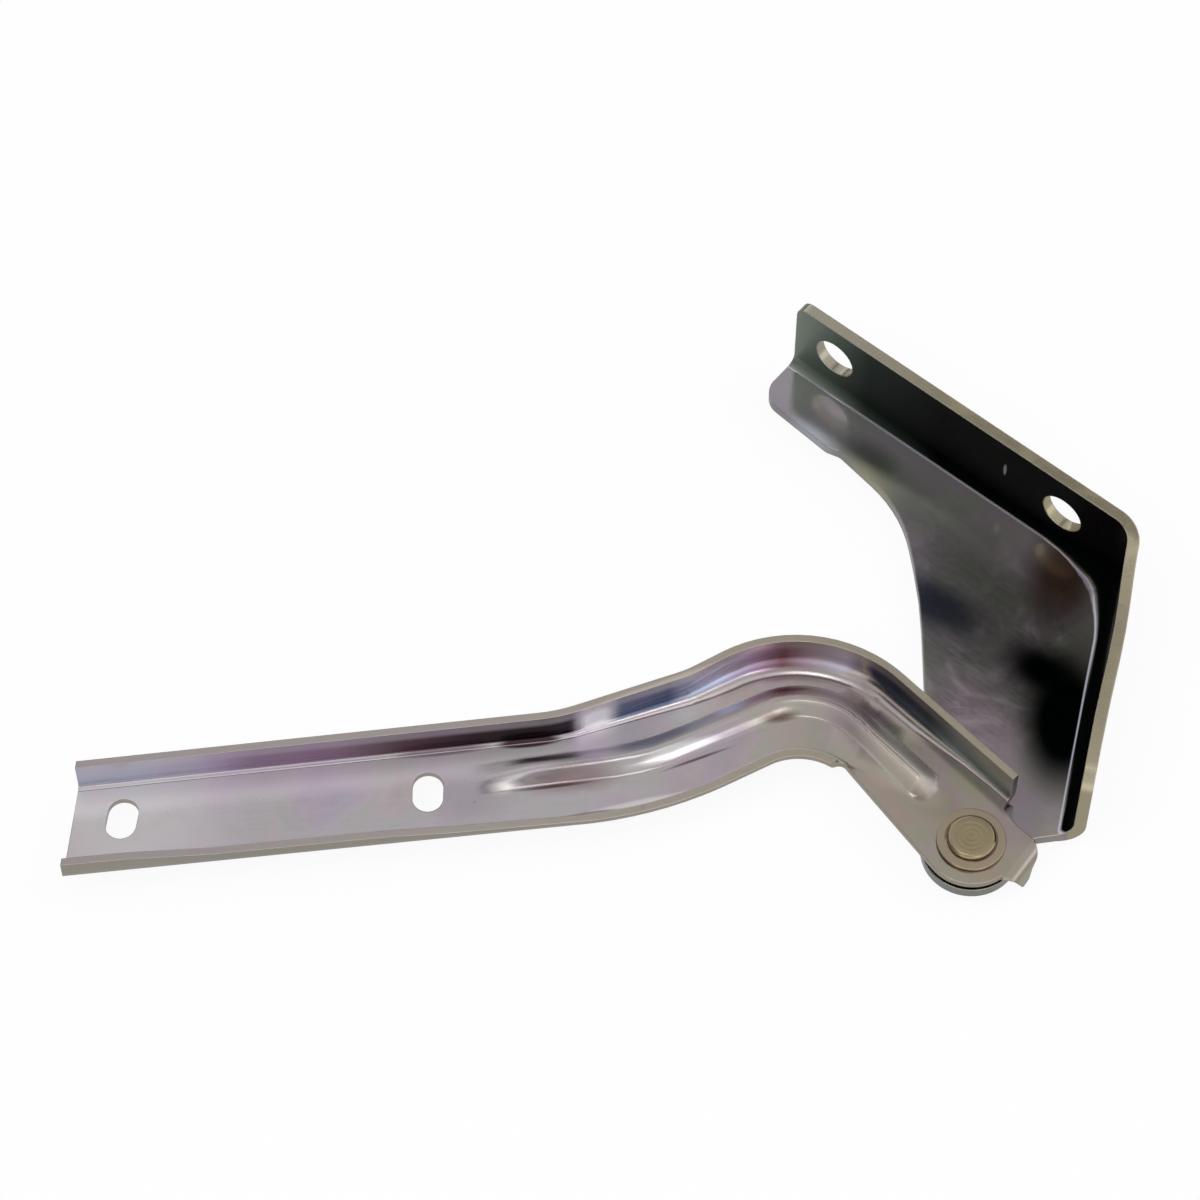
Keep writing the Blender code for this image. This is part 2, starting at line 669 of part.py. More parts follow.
def bracket_rows():
    turn = SIDE_HEADING - TOP_HEADING
    tangent = CORNER_RADIUS * math.tan(math.radians(abs(turn)) / 2.0)
    top = line(TOP_LENGTH - tangent)
    corner = arc(CORNER_RADIUS, turn)
    side = line(SIDE_LENGTH - tangent)
    shares = (0.0, 0.08, 0.29, 0.62, 1.0)
    point, heading = bracket_start(), TOP_HEADING
    stations = []

    def drop(distance, radius):
        # how far the rounded end of the flange is below its free edge
        rest = max(0.0, radius - distance)
        return radius - math.sqrt(max(0.0, radius ** 2 - rest ** 2))

    runs = [FLANGE_CORNER * s for s in shares]
    runs += [top[0] * s for s in (0.25, 0.5, 0.7, 0.83, 0.88, 0.92, 0.96, 1.0)]
    for run in runs:
        where, turned = along(point, heading, top, run / top[0])
        stations.append((where, turned, TOP_FOLD, drop(run, FLANGE_CORNER), 0.0, 0.0))
    point, heading = along(point, heading, top, 1.0)
    for k in range(1, 11):
        where, turned = along(point, heading, corner, k / 10.0)
        stations.append((where, turned, TOP_FOLD + (SIDE_FOLD - TOP_FOLD) * k / 10.0, 0.0, 0.0, 0.0))
    point, heading = along(point, heading, corner, 1.0)
    runs = [side[0] * s for s in (0.05, 0.1, 0.15, 0.2, 0.26, 0.36, 0.48, 0.6, 0.72, 0.82)]
    runs += [side[0] - FLANGE_CORNER_LOW * s for s in reversed(shares)]
    for run in runs:
        share = run / side[0]
        bow = SIDE_BOW * math.sin(math.pi * min(1.0, share * 1.3)) ** 2
        skew = math.tan(math.radians(STOP_SKEW)) * max(0.0, (share - 0.7) / 0.3)
        where, turned = along(point, heading, side, share)
        stations.append((where, turned, SIDE_FOLD, drop(side[0] - run, FLANGE_CORNER_LOW), bow, skew))

    # the web's foot line goes round the corner on a wider turn of its own
    top_foot = Vector(BRACKET_CORNER) - left_of(TOP_HEADING) * (BRACKET_SHEET + TOP_FOLD + CORNER_FOOT_RADIUS)
    side_foot = Vector(BRACKET_CORNER) - left_of(SIDE_HEADING) * (BRACKET_SHEET + SIDE_FOLD + CORNER_FOOT_RADIUS)
    foot_centre = meet(top_foot, TOP_HEADING, side_foot, SIDE_HEADING)

    rows = []
    for where, turned, fold, lower, bow, skew in stations:
        onward = away(turned)
        inward = onward * skew - left_of(turned)
        wall = where + inward * BRACKET_SHEET
        foot = where + inward * (BRACKET_SHEET + fold)
        out = wall - foot_centre
        if out.dot(away(TOP_HEADING)) > 0.0 and out.dot(away(SIDE_HEADING)) < 0.0:
            foot = foot_centre + out.normalized() * CORNER_FOOT_RADIUS
        face = wall + left_of(turned) * bow
        row = [Vector((face.x, face.y, BRACKET_TOP + FLANGE_RISE - lower))]
        reach = (foot - wall).length
        for k in range(0, 9):
            angle = math.pi / 2.0 * k / 8
            spot = wall + (foot - wall) * (1.0 - math.cos(angle))
            row.append(Vector((spot.x, spot.y, BRACKET_TOP + reach * (1.0 - math.sin(angle)))))
        rows.append(row)
    return rows


def bracket_free_edge(first, last):
    # the web's free edge, from the foot of the ear round the waist and the eye to the stop edge
    ear_turn = bracket_start() + away(TOP_HEADING - 90.0) * EAR_REACH
    step_start = ear_turn + away(EAR_HEADING) * EAR_RUN
    step_end = step_start + away(STEP_HEADING) * STEP_RUN
    waist_low = Vector((WAIST_LINE, WAIST_FALL))
    waist = meet(step_end, WAIST_HEADING, waist_low, WAIST_MID_HEADING)
    foot = Vector((WAIST_LINE, WAIST_FOOT))
    tilt = math.degrees(math.acos(min(1.0, BRACKET_EYE / foot.length)))
    tangent_at = math.degrees(math.atan2(foot.y, foot.x)) + tilt

    # the fillet between the eye and the stop edge
    below = left_of(STOP_HEADING)
    base = last + below * STOP_FILLET
    onward = away(STOP_HEADING)
    reach = BRACKET_EYE + STOP_FILLET
    half = base.dot(onward)
    run = -half - math.sqrt(max(0.0, half ** 2 - base.length_squared + reach ** 2))
    centre = base + onward * run
    meet_turn = math.degrees(math.atan2(centre.y, centre.x))

    corners = [(*first, 0.0), (*ear_turn, EAR_CORNER), (*step_start, 4.0), (*step_end, 4.0),
               (*waist, WAIST_RADIUS), (*waist_low, WAIST_LOW_RADIUS), (*foot, 60.0)]
    corners += [(p.x, p.y, 0.0) for p in circle_part(BRACKET_EYE, tangent_at, meet_turn + 360.0)]
    fillet = circle_part(STOP_FILLET, meet_turn + 180.0, STOP_HEADING - 90.0, 15.0)
    corners += [(centre.x + p.x, centre.y + p.y, 0.0) for p in fillet[1:]]
    corners.append((*last, 0.0))
    return filleted(corners)


def make_bracket(group, cutters):
    rows = bracket_rows()
    bm, grid = skin(rows)
    inner = [row[-1] for row in grid]
    first, last = rows[0][-1].to_2d(), rows[-1][-1].to_2d()
    free = bracket_free_edge(first, last)[1:-1]
    web = [bm.verts.new((p.x * MM, p.y * MM, BRACKET_TOP * MM)) for p in free]
    bm.faces.new(inner[::-1] + web)
    bmesh.ops.recalc_face_normals(bm, faces=bm.faces)
    if sum(f.normal.z * f.calc_area() for f in bm.faces) < 0.0:
        bmesh.ops.reverse_faces(bm, faces=bm.faces)
    bracket = new_object("bracket_blank", bm, group)
    thicken(bracket, BRACKET_SHEET)
    for name, run, rise in (("flange_hole_end", HOLE_FROM_END, HOLE_RISE_END),
                            ("flange_hole_corner", TOP_LENGTH - HOLE_FROM_CORNER, HOLE_RISE_CORNER)):
        where = bracket_start() + away(TOP_HEADING) * run
        where -= left_of(TOP_HEADING) * BRACKET_SHEET / 2.0
        hole = drill(name, FLANGE_HOLE / 2.0, -10.0, 10.0, cutters, 48)
        hole.location = (where.x * MM, where.y * MM, (BRACKET_TOP + rise) * MM)
        hole.rotation_euler = (math.pi / 2.0, 0.0, math.radians(TOP_HEADING))
        cut(bracket, hole)
    cut(bracket, drill("bracket_bore", BORE_RADIUS, BRACKET_UNDER - 5.0, BRACKET_TOP + 5.0, cutters))
    return baked(bracket, "body_bracket", group)


# turned pieces

def turned(name, profile, closed, group):
    # the profile runs down its outer side and is swept once round the pivot axis
    bm = bmesh.new()
    verts = [bm.verts.new((x * MM, 0.0, z * MM)) for x, z in profile]
    for a, b in zip(verts, verts[1:]):
        bm.edges.new((a, b))
    if closed:
        bm.edges.new((verts[-1], verts[0]))
    made = new_object(name, bm, group)
    sweep = made.modifiers.new("Turn", 'SCREW')
    sweep.angle = math.tau
    sweep.steps = TURN_STEPS
    sweep.render_steps = TURN_STEPS
    sweep.use_merge_vertices = True
    sweep.merge_threshold = 1e-6
    sweep.use_smooth_shade = True
    return baked(made, name, group)


def make_rivet(group):
    top = HEAD_UNDER + HEAD_HEIGHT
    tail_top = BRACKET_UNDER - SEAT_GAP
    tail = tail_top - TAIL_HEIGHT
    edge = 0.4
    profile = [(0.0, top - HEAD_MARK_DEPTH), (HEAD_MARK_RADIUS - 0.25, top - HEAD_MARK_DEPTH),
               (HEAD_MARK_RADIUS + 0.1, top), (HEAD_RADIUS - 1.3, top), (HEAD_RADIUS - 0.55, top - 0.12),
               (HEAD_RADIUS - 0.15, top - 0.4), (HEAD_RADIUS, top - 0.8), (HEAD_RADIUS, HEAD_UNDER + 0.1),
               (HEAD_RADIUS - 0.1, HEAD_UNDER), (RIVET_SHANK, HEAD_UNDER), (RIVET_SHANK, tail_top)]
    profile += [(TAIL_RADIUS - 0.2, tail_top), (TAIL_RADIUS, tail_top - 0.2)]
    for k in range(0, 6):
        turn = math.radians(15.0 * (k + 1))
        profile.append((2.6 + (TAIL_RADIUS - 2.6) * math.cos(turn) if k < 5 else 2.6,
                        tail_top - edge - (TAIL_HEIGHT - edge) * math.sin(turn)))
    profile.append((0.0, tail))
    return turned("pivot_rivet", profile, False, group)


def make_washer(group):
    round_off = 0.25
    r, b = WASHER_RADIUS, BORE_RADIUS
    profile = [(b + 0.15, WASHER_TOP), (r - round_off, WASHER_TOP), (r - 0.07, WASHER_TOP - 0.07),
               (r, WASHER_TOP - round_off), (r, WASHER_UNDER + round_off), (r - round_off, WASHER_UNDER),
               (b + 0.15, WASHER_UNDER), (b, WASHER_UNDER + 0.15), (b, WASHER_TOP - 0.15)]
    return turned("head_washer", profile, True, group)


def make_bush(group):
    profile = [(BORE_RADIUS + 0.2, 0.0), (BUSH_RADIUS - 0.2, 0.0), (BUSH_RADIUS, -0.2),
               (BUSH_RADIUS, BUSH_FLANGE_TOP), (BUSH_FLANGE_RADIUS, BUSH_FLANGE_TOP),
               (BUSH_FLANGE_RADIUS, BUSH_FLANGE_UNDER), (BORE_RADIUS + 0.2, BUSH_FLANGE_UNDER),
               (BORE_RADIUS, BUSH_FLANGE_UNDER + 0.2), (BORE_RADIUS, -0.2)]
    return turned("pivot_bush", profile, True, group)


def empty(name, group):
    made = bpy.data.objects.new(name, None)
    made.empty_display_size = 20.0 * MM
    group.objects.link(made)
    return made


def build():
    for old in list(bpy.data.objects):
        bpy.data.objects.remove(old, do_unlink=True)
    group = collection("bonnet_hinge")
    cutters = collection("bonnet_hinge_cutters")
    frame = empty("hinge_frame", group)
    swing = empty("bonnet_pivot_axis", group)
    swing.parent = frame

    zinc = metal("arm_zinc", (0.56, 0.53, 0.52), 0.28)
    plate = metal("bracket_zinc", (0.45, 0.42, 0.40), 0.26)
    rivet_zinc = metal("rivet_zinc", (0.52, 0.49, 0.40), 0.30)
    washer_zinc = metal("washer_zinc", (0.53, 0.50, 0.43), 0.28)
    bronze = metal("bush_bronze", (0.50, 0.36, 0.20), 0.40)

    arm = make_arm(group, cutters)
    bracket = make_bracket(group, cutters)
    rivet = make_rivet(group)
    washer = make_washer(group)
    bush = make_bush(group)
    for obj, material, parent in ((arm, zinc, swing), (bush, bronze, swing), (bracket, plate, frame),
                                  (rivet, rivet_zinc, frame), (washer, washer_zinc, frame)):
        obj.data.materials.clear()
        obj.data.materials.append(material)
        obj.parent = parent
        smooth(obj)

    # origin under the middle of the box
    pieces = (arm, bracket, rivet, washer, bush)
    points = [v.co for obj in pieces for v in obj.data.vertices]
    low = Vector([min(p[k] for p in points) for k in range(3)])
    high = Vector([max(p[k] for p in points) for k in range(3)])
    frame.location = (-(low.x + high.x) / 2.0, -(low.y + high.y) / 2.0, -low.z)
    bpy.context.view_layer.update()


build()
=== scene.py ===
# Bonnet hinge: bright zinc finish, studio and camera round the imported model
import json
import math

import bmesh
import bpy
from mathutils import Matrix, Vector


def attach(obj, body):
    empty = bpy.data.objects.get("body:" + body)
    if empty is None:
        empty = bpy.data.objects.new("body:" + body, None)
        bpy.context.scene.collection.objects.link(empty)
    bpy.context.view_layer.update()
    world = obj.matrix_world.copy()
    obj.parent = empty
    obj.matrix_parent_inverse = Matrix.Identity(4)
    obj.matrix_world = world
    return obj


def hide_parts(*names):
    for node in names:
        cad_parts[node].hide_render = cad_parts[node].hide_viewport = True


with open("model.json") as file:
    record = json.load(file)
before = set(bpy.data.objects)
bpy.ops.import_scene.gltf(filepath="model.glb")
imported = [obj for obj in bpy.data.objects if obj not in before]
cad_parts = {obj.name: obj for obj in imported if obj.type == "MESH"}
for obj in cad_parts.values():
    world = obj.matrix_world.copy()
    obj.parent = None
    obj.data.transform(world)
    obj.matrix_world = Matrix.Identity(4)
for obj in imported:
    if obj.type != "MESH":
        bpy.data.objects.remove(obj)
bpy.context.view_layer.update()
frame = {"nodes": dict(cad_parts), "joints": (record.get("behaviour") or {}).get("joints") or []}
nodes = frame["nodes"]
armSheet = 2.2
pivot = Vector(frame["joints"][0]["pos_m"]) * 1000.0 + Vector((0, 0, armSheet / 2))  # upper face of the arm, in mm
print("frame loaded")


def at(x, y, z=0.0):
    # a place given in mm from the pivot, in metres
    return (pivot + Vector((x, y, z))) / 1000.0


# shader sums

class Wire:
    def __init__(self, tree, socket):
        self.tree, self.socket = tree, socket

    def maths(self, operation, *others):
        return self.tree.node('ShaderNodeMath', {'operation': operation}, [self, *others])

    def other(self, name):
        return Wire(self.tree, self.socket.node.outputs[name])

    def __add__(self, other):
        return self.maths('ADD', other)

    __radd__ = __add__

    def __mul__(self, other):
        return self.maths('MULTIPLY', other)

    __rmul__ = __mul__

    def __sub__(self, other):
        return self.maths('SUBTRACT', other)

    def __rsub__(self, other):
        return self.tree.node('ShaderNodeMath', {'operation': 'SUBTRACT'}, [other, self])

    def __truediv__(self, other):
        return self.maths('DIVIDE', other)

    def __pow__(self, other):
        return self.maths('POWER', other)

    def __abs__(self):
        return self.maths('ABSOLUTE')

    def lesser(self, other):
        return self.maths('MINIMUM', other)

    def greater(self, other):
        return self.maths('MAXIMUM', other)

    def rise(self, low, high):
        # 0 below low, 1 above high, smooth between; low above high turns it round
        if low <= high:
            return self.tree.node('ShaderNodeMapRange', {'interpolation_type': 'SMOOTHSTEP'},
                                  {'Value': self, 'From Min': low, 'From Max': high})
        return self.tree.node('ShaderNodeMapRange', {'interpolation_type': 'SMOOTHSTEP'},
                              {'Value': self, 'From Min': high, 'From Max': low, 'To Min': 1.0, 'To Max': 0.0})

    def band(self, centre, half, soft):
        # 1 near centre, 0 further off than half
        return abs(self - centre).rise(half + soft, max(0.0, half - soft))


class Finish:
    # a material's tree, with one method for every kind of node
    def __init__(self, name, owner=None):
        self.owner = owner or bpy.data.materials.new(name)
        self.owner.use_nodes = True
        self.tree = self.owner.node_tree
        self.tree.nodes.clear()
        self.kept = {}

    def node(self, kind, settings=None, values=None, output=0):
        made = self.tree.nodes.new(kind)
        for name, value in (settings or {}).items():
            if name == 'stops':
                ramp = made.color_ramp
                while len(ramp.elements) > 1:
                    ramp.elements.remove(ramp.elements[-1])
                for k, (place, color) in enumerate(value):
                    stop = ramp.elements[0] if k == 0 else ramp.elements.new(place)
                    stop.position, stop.color = place, (*color, 1.0)
            else:
                setattr(made, name, value)
        pairs = values.items() if isinstance(values, dict) else enumerate(values or [])
        for name, value in pairs:
            if isinstance(value, Wire):
                self.tree.links.new(value.socket, made.inputs[name])
            elif value is not None:
                made.inputs[name].default_value = value
        return Wire(self, made.outputs[output]) if made.outputs else made

    def spot(self):
        # mm from the pivot, fixed to the piece
        if 'spot' not in self.kept:
            place = self.node('ShaderNodeTexCoord').other('Object')
            self.kept['spot'] = self.node('ShaderNodeMapping', {},
                                          {'Vector': place, 'Location': -pivot, 'Scale': (1000.0,) * 3})
        return self.kept['spot']

    def axes(self):
        if 'axes' not in self.kept:
            self.kept['axes'] = self.node('ShaderNodeSeparateXYZ', {}, [self.spot()])
        x = self.kept['axes']
        return x, x.other('Y'), x.other('Z')

    def facing(self):
        # the plain direction of the face, as three numbers
        if 'facing' not in self.kept:
            way = self.node('ShaderNodeTexCoord').other('Normal')
            self.kept['facing'] = self.node('ShaderNodeSeparateXYZ', {}, [way])
        x = self.kept['facing']
        return x, x.other('Y'), x.other('Z')

    def around(self):
        # distance from the pivot axis
        x, y, z = self.axes()
        return (x * x + y * y) ** 0.5

    def across(self, way):
        # how far a place lies in a direction of the X, Y plane, and how far its face looks that way
        x, y, z = self.axes()
        nx, ny, nz = self.facing()
        return x * way[0] + y * way[1], nx * way[0] + ny * way[1]

    def turned(self, turn=0.0, stretch=(1.0, 1.0, 1.0), shift=(0.0, 0.0, 0.0)):
        # the mm place turned about the pivot axis and then stretched along its new directions
        place = self.node('ShaderNodeVectorRotate', {'rotation_type': 'Z_AXIS'},
                          {'Vector': self.spot(), 'Angle': math.radians(-turn)})
        return self.node('ShaderNodeMapping', {},
                         {'Vector': place, 'Scale': tuple(1.0 / s for s in stretch), 'Location': shift})

    def noise(self, size, detail=2.0, rough=0.5, warp=0.0, place=None):
        # soft random values, size in mm
        return self.node('ShaderNodeTexNoise', {}, {'Vector': place or self.spot(), 'Scale': 1.0 / size,
                                                    'Detail': detail, 'Roughness': rough, 'Distortion': warp})

    def mix(self, share, first, second):
        return self.node('ShaderNodeMix', {'data_type': 'RGBA'},
                         {0: share, 6: self.color(first), 7: self.color(second)}, 2)

    def color(self, value):
        return value if isinstance(value, Wire) else (*value, 1.0)

    def ramp(self, share, stops):
        return self.node('ShaderNodeValToRGB', {'stops': stops}, [share])

    def dot(self, centre, radius, soft=0.5):
        # 1 inside a round spot
        gone = self.node('ShaderNodeVectorMath', {'operation': 'DISTANCE'},
                         [self.spot(), Vector(centre)], 'Value')
        return gone.rise(radius + soft, max(0.0, radius - soft))

    def nearAny(self, places, radius, soft):
        # 1 near any of the places
        found = self.dot(places[0], radius, soft)
        for place in places[1:]:
            found = found.greater(self.dot(place, radius, soft))
        return found

    def oval(self, centre, turn, halves, inner=0.25):
        # 1 inside a soft oval, turned about the pivot axis
        place = self.node('ShaderNodeVectorRotate', {'rotation_type': 'Z_AXIS'},
                          {'Vector': self.spot(), 'Center': Vector(centre), 'Angle': math.radians(-turn)})
        off = self.node('ShaderNodeVectorMath', {'operation': 'SUBTRACT'}, [place, Vector(centre)])
        part = self.node('ShaderNodeVectorMath', {'operation': 'DIVIDE'}, [off, Vector(halves)])
        gone = self.node('ShaderNodeVectorMath', {'operation': 'LENGTH'}, [part], 'Value')
        return gone.rise(1.0, inner)

    def done(self, shader):
        self.node('ShaderNodeOutputMaterial', {}, {'Surface': shader})
        return self.owner


# zinc plate

# sizes and depths in mm, and the roughness that each kind of mark adds
plating = {
    "filmLow": 0.30, "filmGain": 2.5, "grainSize": 0.5, "grainStretch": 24.0, "peelSize": 1.7, "smudgeSize": 17.0,
    "pitSpacing": 5.5, "pitDepth": 0.02, "hairSize": 0.9, "hairStretch": 46.0, "hairTurn": 37.0, "hairDepth": 0.003,
    "grainRough": 0.10, "peelRough": 0.05, "smudgeRough": 0.07, "rimRough": 0.12, "pitRough": 0.25, "hairRough": 0.10,
}


def clouds(finish, look):
    # the passivate's film drifts through lilac, rose, grey, olive and blue
    film = finish.noise(look["cloudSize"], 2.0, 0.5, 0.4)
    fine = finish.noise(look["cloudSize"] * 0.4, 1.0, 0.5, 0.2)
    share = (film * 0.75 + fine * 0.25 - plating["filmLow"]) * plating["filmGain"]
    return finish.ramp(share, look["film"])


def rimMask(finish, look):
    # the sheared rims of the flanges face up, above the bead
    z = finish.axes()[2]
    return finish.facing()[2].rise(0.80, 0.95) * z.rise(look["rimFrom"] - 0.15, look["rimFrom"] + 0.15)


def plate(name, look, rims=(), paints=(), satin=None, relief=None, dull=None):
    # rims give masks and paints give base colours; satin is less metallic, relief adds height and dull roughness
    finish = Finish(name)
    base = clouds(finish, look)
    x = finish.axes()[0]
    tone = finish.mix(x.rise(*look["toneSpan"]), look["toneLeft"], look["tone"])
    base = finish.mix(look["toneAmount"], base, tone)

    # rolling grain in the sheet and the shallow waves that pressing leaves
    grainWay = finish.turned(look["grainTurn"], (plating["grainStretch"], 1.0, 1.0))
    grain = finish.noise(plating["grainSize"], 3.0, 0.6, 0.0, grainWay)
    waves = finish.noise(look["waveSize"], 1.0, 0.4, 0.2)
    peel = finish.noise(plating["peelSize"], 2.0, 0.5)
    smudge = finish.noise(plating["smudgeSize"], 3.0, 0.6, 1.2).rise(0.46, 0.74)

    # small pits and short handling scratches
    pit = finish.node('ShaderNodeTexVoronoi', {'feature': 'F1'},
                      {'Vector': finish.spot(), 'Scale': 1.0 / plating["pitSpacing"]})
    pits = pit.rise(0.050, 0.022) * finish.noise(31.0, 1.0).rise(0.48, 0.62)
    hairWay = finish.turned(look["grainTurn"] + plating["hairTurn"], (plating["hairStretch"], 1.0, 1.0),
                            (3.0, 8.0, 0.0))
    hair = finish.noise(plating["hairSize"], 2.0, 0.5, 0.0, hairWay)
    hairs = hair.rise(0.71, 0.78) * finish.noise(24.0, 1.0).rise(0.50, 0.66)

    # rounded edges bend the normal, and a lighter colour is painted along them as a painted highlight
    soft = finish.node('ShaderNodeBevel', {'samples': 6}, {'Radius': look["edgeRound"] / 1000.0})
    plain = finish.node('ShaderNodeNewGeometry').other('Normal')
    apart = finish.node('ShaderNodeVectorMath', {'operation': 'DOT_PRODUCT'}, [soft, plain], 'Value')
    edge = apart.rise(0.985, 0.80)

    base = finish.mix(grain.rise(0.35, 0.75) * look["grainAmount"], base, look["grainTone"])
    base = finish.mix(smudge * look["smudgeAmount"], base, look["smudgeTone"])
    upper = finish.facing()[2].rise(-0.2, 0.1)
    # painted highlights, painted shade and painted reflections in soft ovals on upward faces, with a few stains
    for centre, turn, halves, color, amount, *inner in look.get("paintedLightAndStains", []):
        base = finish.mix(finish.oval(centre, turn, halves, *inner) * upper * amount, base, color)
    for paint in paints:
        base = paint(finish, base)
    rim = rimMask(finish, look)
    for part in rims:
        rim = rim.greater(part(finish))
    rimTone = finish.mix(x.rise(*look["rimSpan"]), look["rimLeft"], look["rimTone"])
    base = finish.mix(rim * look["rimAmount"], base, rimTone)
    # the painted highlight along the rounded edges
    base = finish.mix(edge * look["edgeHighlightAmount"], base, look["edgeHighlightTone"])
    base = finish.mix(pits * 0.75, base, look["pitTone"])

    roughness = (look["roughness"] + (grain - 0.5) * plating["grainRough"] + (peel - 0.5) * plating["peelRough"]
                 + smudge * plating["smudgeRough"] + rim * plating["rimRough"] + pits * plating["pitRough"]
                 + hairs * plating["hairRough"])
    if dull:
        roughness = roughness + dull(finish)
    height = ((waves - 0.5) * look["waveHeight"] + (grain - 0.5) * look["grainDepth"] + (peel - 0.5) * look["peelDepth"]
              - pits * plating["pitDepth"] - hairs * plating["hairDepth"])
    if relief:
        height = height + relief(finish)
    metallic = 1.0 - satin(finish) * look["satinAmount"] if satin else 1.0
    bump = finish.node('ShaderNodeBump', {}, {'Strength': 1.0, 'Distance': 0.001, 'Height': height, 'Normal': soft})
    shader = finish.node('ShaderNodeBsdfPrincipled', {},
                         {'Base Color': base, 'Metallic': metallic, 'Roughness': roughness, 'Normal': bump})
    return finish.done(shader)


def finishedCopy(name, material, body):
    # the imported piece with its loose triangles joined, smooth round its bends
    bm = bmesh.new()
    bm.from_mesh(nodes[name].data)
    bmesh.ops.remove_doubles(bm, verts=bm.verts, dist=2e-6)
    bmesh.ops.dissolve_limit(bm, angle_limit=math.radians(0.4), verts=bm.verts, edges=bm.edges)
    mesh = bpy.data.meshes.new(name + "Finished")
    for face in bm.faces:
        face.smooth = True
        face.material_index = 0
    bm.to_mesh(mesh)
    bm.free()
    mesh.set_sharp_from_angle(angle=math.radians(32.0))
    piece = bpy.data.objects.new(name + "Finished", mesh)
    bpy.context.scene.collection.objects.link(piece)
    mesh.materials.append(material)
    weight = piece.modifiers.new("Even shading", 'WEIGHTED_NORMAL')
    weight.mode = 'FACE_AREA'
    weight.weight = 100
    weight.keep_sharp = True
    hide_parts(name)
    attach(piece, body)


# arm

